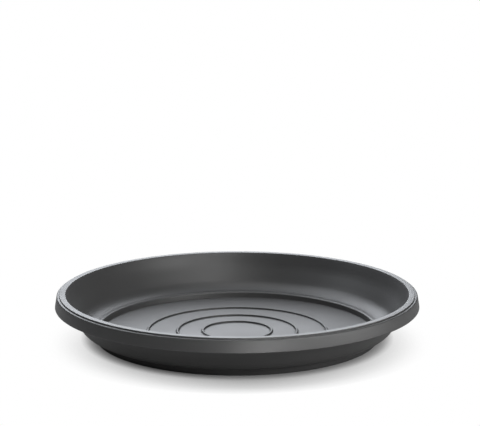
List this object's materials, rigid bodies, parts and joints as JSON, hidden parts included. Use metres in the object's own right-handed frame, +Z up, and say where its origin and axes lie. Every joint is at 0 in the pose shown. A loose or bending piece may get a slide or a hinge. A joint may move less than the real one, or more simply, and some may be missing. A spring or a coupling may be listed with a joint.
{
  "type": "plant saucer",
  "caption": "Round shallow moulded saucer with a stepped rim and hanging collar, a sunk floor with raised concentric ribs and a low foot ring, for catching water under a plant pot.",
  "frame": {"origin": "on the saucer's axis, at the level of the surface that the foot ring stands on", "axes": "+Z up along the axis of the round saucer; X and Y are alike because it is round"},
  "size_m": [0.4, 0.4, 0.0506],
  "materials": {
    "anthracite_polypropylene": "satin moulded"
  },
  "bodies": {
    "root": {"dish": "anthracite_polypropylene", "rim_collar": "anthracite_polypropylene", "foot_ring": "anthracite_polypropylene", "floor_rib_inner": "anthracite_polypropylene", "floor_rib_middle": "anthracite_polypropylene", "floor_rib_outer": "anthracite_polypropylene"}
  },
  "joints": []
}
